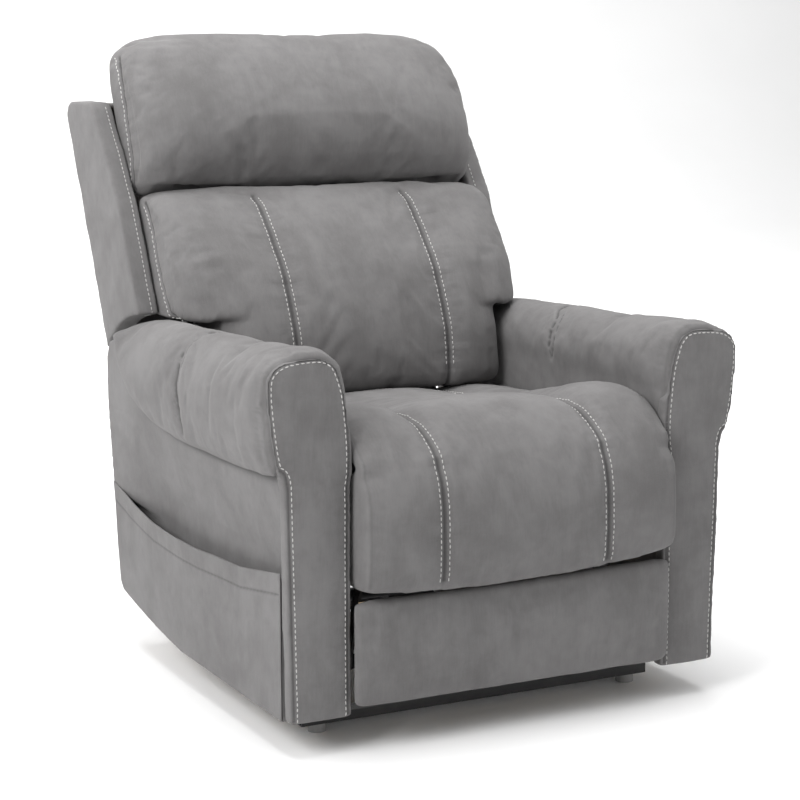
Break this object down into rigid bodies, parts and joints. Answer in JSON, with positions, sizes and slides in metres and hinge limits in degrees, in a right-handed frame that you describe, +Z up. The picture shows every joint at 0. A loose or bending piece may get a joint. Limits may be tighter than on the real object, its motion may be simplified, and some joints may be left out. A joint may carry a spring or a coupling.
{
  "type": "lift recliner chair",
  "caption": "Upholstered power lift recliner with padded arms, winged back, tilting headrest, fold-out footrest and a tilting lift base.",
  "frame": {"origin": "centre of the bounding box on the floor plane", "axes": "+Z up, the chair faces -Y, +X is the right-hand side seen from the front"},
  "size_m": [0.8566, 1.0773, 1.084],
  "materials": {
    "black_steel": "satin black powder coat",
    "zinc": "zinc plated",
    "timber": "bare plywood and pine",
    "webbing": "woven elastic strap",
    "plastic": "black moulded plastic",
    "keys": "grey keys",
    "suede": "warm grey brushed microsuede"
  },
  "bodies": {
    "base": {"base_front_rail": "black_steel", "base_side_rails": "black_steel", "base_rear_rail": "black_steel", "floor_glides": "plastic", "base_pivot_brackets": "black_steel", "base_pivot_pins": "zinc", "lift_clevis": "black_steel", "power_supply": "plastic", "mains_inlet": "plastic"},
    "rear_links": {"lift_links_rear": "black_steel"},
    "front_links": {"lift_links_front": "black_steel"},
    "carriage": {"lift_frame_rail_left": "black_steel", "lift_frame_rail_right": "black_steel", "lift_frame_cross_tubes": "black_steel", "actuator_brackets": "black_steel", "mechanism_plate_left": "black_steel", "mechanism_plate_right": "black_steel", "mechanism_pins": "zinc", "arm_brackets": "black_steel", "arm_frames": "timber", "arm_inner_panel_left": "suede", "arm_inner_panel_right": "suede", "arm_outer_panel_left": "suede", "arm_outer_panel_right": "suede", "arm_front_panel_left": "suede", "arm_front_panel_right": "suede", "arm_rear_panel_left": "suede", "arm_rear_panel_right": "suede", "arm_pad_left": "suede", "arm_pad_right": "suede", "side_pocket": "suede", "seat_frame": "timber", "seat_webbing": "webbing", "seat_cushion": "suede"},
    "lift_drive": {"lift_motor": "plastic", "lift_actuator_tube": "zinc"},
    "lift_rod": {"lift_actuator_rod": "zinc"},
    "recline_drive": {"recline_motor": "plastic", "recline_actuator_tube": "zinc"},
    "recline_rod": {"recline_actuator_rod": "zinc"},
    "back": {"back_frame": "black_steel", "back_webbing": "webbing", "back_wing_left": "suede", "back_wing_right": "suede", "back_rear_panel": "suede", "lumbar_cushion": "suede"},
    "headrest": {"headrest_board": "timber", "headrest_cushion": "suede"},
    "foot_main": {"footrest_links_main": "black_steel"},
    "foot_lower": {"footrest_links_lower": "black_steel"},
    "foot_rear": {"footrest_links_rear": "black_steel"},
    "foot_upper": {"footrest_links_upper": "black_steel"},
    "foot_panel": {"footrest_board": "timber", "footrest_pad": "suede"},
    "chaise_flap": {"chaise_pad": "suede"},
    "handset_body": {"handset": "plastic"},
    "key_raise": {"button_raise": "keys"},
    "key_lower": {"button_lower": "keys"},
    "key_back_up": {"button_back_up": "keys"},
    "key_back_down": {"button_back_down": "keys"}
  },
  "joints": [
    {"name": "lift_raise", "type": "hinge", "parent": "base", "child": "rear_links", "pos_m": [0, -0.25125, 0.112], "axis": [1, 0, 0], "range_deg": [0, 56]},
    {"name": "lift_tilt", "type": "hinge", "parent": "rear_links", "child": "carriage", "pos_m": [0, 0.16675, 0.142], "axis": [-1, 0, 0], "range_deg": [0, 30.43]},
    {"name": "lift_front_link", "type": "hinge", "parent": "base", "child": "front_links", "pos_m": [0, -0.33225, 0.078], "axis": [1, 0, 0], "range_deg": [0, 68.37]},
    {"name": "lift_drive_swing", "type": "hinge", "parent": "base", "child": "lift_drive", "pos_m": [0, -0.33225, 0.11], "axis": [1, 0, 0], "range_deg": [0, 55.83]},
    {"name": "lift_rod_extend", "type": "slide", "parent": "lift_drive", "child": "lift_rod", "axis": [0, 0.8186, 0.5744], "range_m": [0, 0.0855]},
    {"name": "back_recline", "type": "hinge", "parent": "carriage", "child": "back", "pos_m": [0, 0.15775, 0.35], "axis": [-1, 0, 0], "range_deg": [0, 40]},
    {"name": "recline_drive_swing", "type": "hinge", "parent": "carriage", "child": "recline_drive", "pos_m": [0, -0.12225, 0.22], "axis": [-1, 0, 0], "range_deg": [0, 5.4]},
    {"name": "recline_rod_draw", "type": "slide", "parent": "recline_drive", "child": "recline_rod", "axis": [0, -0.9813, -0.1924], "range_m": [0, 0.0602]},
    {"name": "headrest_tilt", "type": "hinge", "parent": "back", "child": "headrest", "pos_m": [0, 0.30275, 0.862], "axis": [1, 0, 0], "range_deg": [0, 30]},
    {"name": "footrest_raise", "type": "hinge", "parent": "carriage", "child": "foot_main", "pos_m": [0, -0.40225, 0.39], "axis": [-1, 0, 0], "range_deg": [0, 92]},
    {"name": "foot_lower_link", "type": "hinge", "parent": "foot_main", "child": "foot_lower", "pos_m": [0, -0.30713, 0.07296], "axis": [1, 0, 0], "range_deg": [0, 92]},
    {"name": "foot_panel_turn", "type": "hinge", "parent": "foot_lower", "child": "foot_panel", "pos_m": [0, -0.45213, 0.14996], "axis": [-1, 0, 0], "range_deg": [0, 92]},
    {"name": "foot_rear_link", "type": "hinge", "parent": "carriage", "child": "foot_rear", "pos_m": [0, -0.453, 0.41695], "axis": [-1, 0, 0], "range_deg": [0, 92]},
    {"name": "foot_upper_link", "type": "hinge", "parent": "foot_main", "child": "foot_upper", "pos_m": [0, -0.32438, 0.13043], "axis": [1, 0, 0], "range_deg": [0, 92]},
    {"name": "chaise_unfold", "type": "hinge", "parent": "carriage", "child": "chaise_flap", "pos_m": [0, -0.50225, 0.452], "axis": [-1, 0, 0], "range_deg": [0, 75.54]},
    {"name": "handset_draw", "type": "slide", "parent": "carriage", "child": "handset_body", "axis": [0, 0, 1], "range_m": [0, 0.07]},
    {"name": "press_raise", "type": "slide", "parent": "handset_body", "child": "key_raise", "axis": [1, 0, 0], "range_m": [0, 0.0015], "stiffness_N_per_m": 600},
    {"name": "press_lower", "type": "slide", "parent": "handset_body", "child": "key_lower", "axis": [1, 0, 0], "range_m": [0, 0.0015], "stiffness_N_per_m": 600},
    {"name": "press_back_up", "type": "slide", "parent": "handset_body", "child": "key_back_up", "axis": [1, 0, 0], "range_m": [0, 0.0015], "stiffness_N_per_m": 600},
    {"name": "press_back_down", "type": "slide", "parent": "handset_body", "child": "key_back_down", "axis": [1, 0, 0], "range_m": [0, 0.0015], "stiffness_N_per_m": 600}
  ],
  "couplings": [
    {"joint": "lift_tilt", "follows": "lift_raise", "ratio": 0.5425},
    {"joint": "lift_front_link", "follows": "lift_raise", "ratio": 1.22},
    {"joint": "lift_drive_swing", "follows": "lift_raise", "ratio": 0.996},
    {"joint": "lift_rod_extend", "follows": "lift_raise", "m_per_rad": 0.08727},
    {"joint": "recline_drive_swing", "follows": "back_recline", "ratio": 0.13},
    {"joint": "recline_rod_draw", "follows": "back_recline", "m_per_rad": 0.08594},
    {"joint": "foot_lower_link", "follows": "footrest_raise", "ratio": 1},
    {"joint": "foot_panel_turn", "follows": "footrest_raise", "ratio": 1},
    {"joint": "foot_rear_link", "follows": "footrest_raise", "ratio": 1},
    {"joint": "foot_upper_link", "follows": "footrest_raise", "ratio": 1},
    {"joint": "chaise_unfold", "follows": "footrest_raise", "ratio": 0.82}
  ]
}
